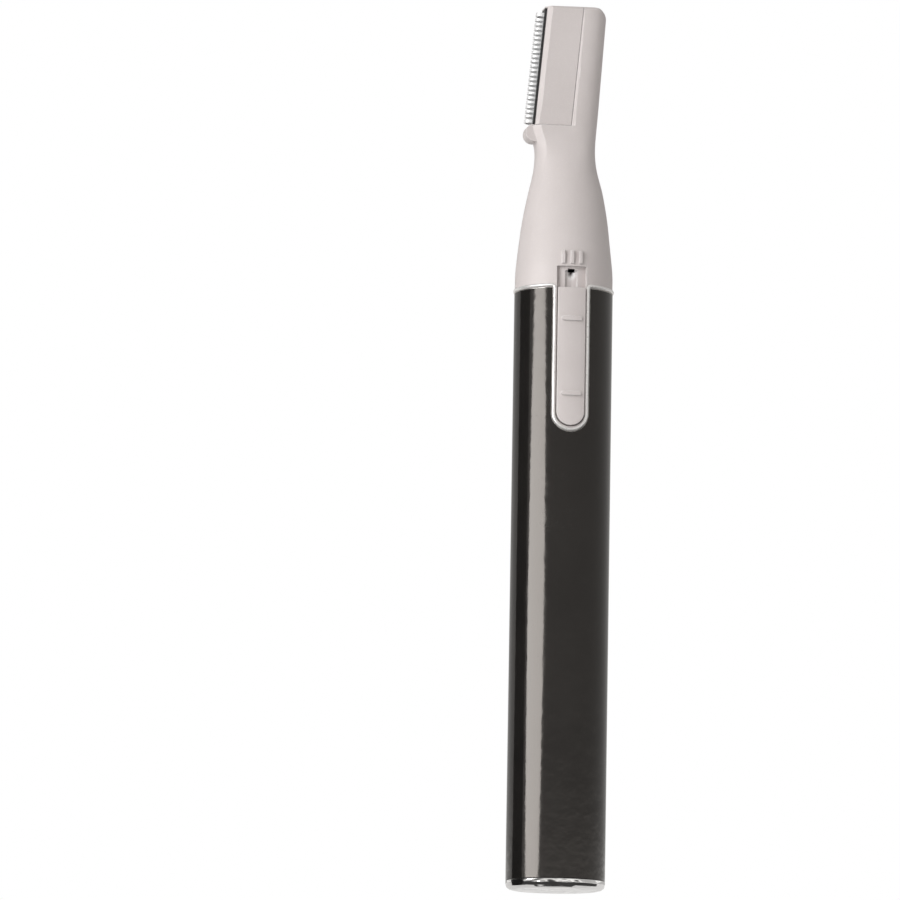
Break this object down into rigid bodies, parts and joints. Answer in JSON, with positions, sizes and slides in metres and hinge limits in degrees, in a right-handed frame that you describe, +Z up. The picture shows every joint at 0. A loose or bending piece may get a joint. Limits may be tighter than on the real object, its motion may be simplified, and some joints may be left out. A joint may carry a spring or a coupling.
{
  "type": "personal trimmer",
  "caption": "Slim pen-shaped battery trimmer with a straight side blade, slide switch, pull-out head and chassis, motor and crank drive in a tube barrel.",
  "frame": {"origin": "centre of the end cap's flat underside, which the trimmer stands on", "axes": "+Z up the barrel to the head, -Y out of the side with the slide switch, -X out of the side with the cutting edge"},
  "size_m": [0.0156, 0.0162, 0.1408],
  "materials": {
    "black_lacquer": "gloss lacquer on aluminium",
    "chrome": "bright plated",
    "silver_plastic": "satin silver moulding",
    "black_plastic": "satin",
    "inner_plastic": "as moulded",
    "white_plastic": "as moulded acetal",
    "blade_steel": "ground stainless",
    "plated_steel": "nickel plated",
    "motor_steel": "zinc plated",
    "brass": "bare",
    "copper": "enamelled wire",
    "magnet": "sintered ferrite",
    "cell_jacket": "printed film jacket, plain"
  },
  "bodies": {
    "barrel": {"barrel_tube": "black_lacquer", "end_cap": "chrome", "spring_plate": "plated_steel", "battery_spring": "plated_steel", "battery_liner": "inner_plastic"},
    "battery": {"battery_can": "cell_jacket", "battery_insulator": "inner_plastic", "battery_positive_cap": "plated_steel"},
    "chassis": {"chassis_frame": "inner_plastic", "positive_contact": "plated_steel", "switch_contact": "plated_steel", "negative_contact": "plated_steel", "motor_can": "motor_steel", "motor_end_cap": "inner_plastic", "motor_terminals": "brass", "motor_bushes": "brass", "motor_magnets": "magnet", "motor_screws": "plated_steel", "blade_cover": "silver_plastic", "head_front_shell": "silver_plastic", "head_back_shell": "silver_plastic", "rocker_pin": "blade_steel", "blade_holder": "black_plastic", "comb_blade": "blade_steel", "tension_spring": "blade_steel"},
    "rotor": {"motor_shaft": "blade_steel", "armature_core": "motor_steel", "armature_windings": "copper", "commutator": "brass", "crank_wheel": "white_plastic"},
    "rocker": {"rocker_lever": "white_plastic"},
    "cutter": {"cutter_blade": "blade_steel", "cutter_carrier": "white_plastic"},
    "switch": {"switch_slider": "silver_plastic", "switch_wiper": "brass"}
  },
  "joints": [
    {"name": "head_slide", "type": "slide", "parent": "barrel", "child": "chassis", "axis": [0, 0, 1], "range_m": [0, 0.11]},
    {"name": "battery_slide", "type": "slide", "parent": "barrel", "child": "battery", "axis": [0, 0, 1], "range_m": [0, 0.088]},
    {"name": "switch_slide", "type": "slide", "parent": "chassis", "child": "switch", "axis": [0, 0, 1], "range_m": [0, 0.003]},
    {"name": "motor_spin", "type": "hinge", "parent": "chassis", "child": "rotor", "pos_m": [0, 0, 0.09], "axis": [0, 0, 1], "continuous": true},
    {"name": "rocker_pivot", "type": "hinge", "parent": "chassis", "child": "rocker", "pos_m": [0.00056, 0, 0.10324], "axis": [0, 1, 0], "range_deg": [-4, 4]},
    {"name": "cutter_stroke", "type": "slide", "parent": "chassis", "child": "cutter", "axis": [0.0924, 0, 0.9957], "range_m": [-0.000335, 0.000335]}
  ],
  "couplings": [
    {"joint": "battery_slide", "follows": "head_slide", "ratio": 0.8},
    {"joint": "rocker_pivot", "follows": "cutter_stroke", "rad_per_m": 208.33}
  ]
}
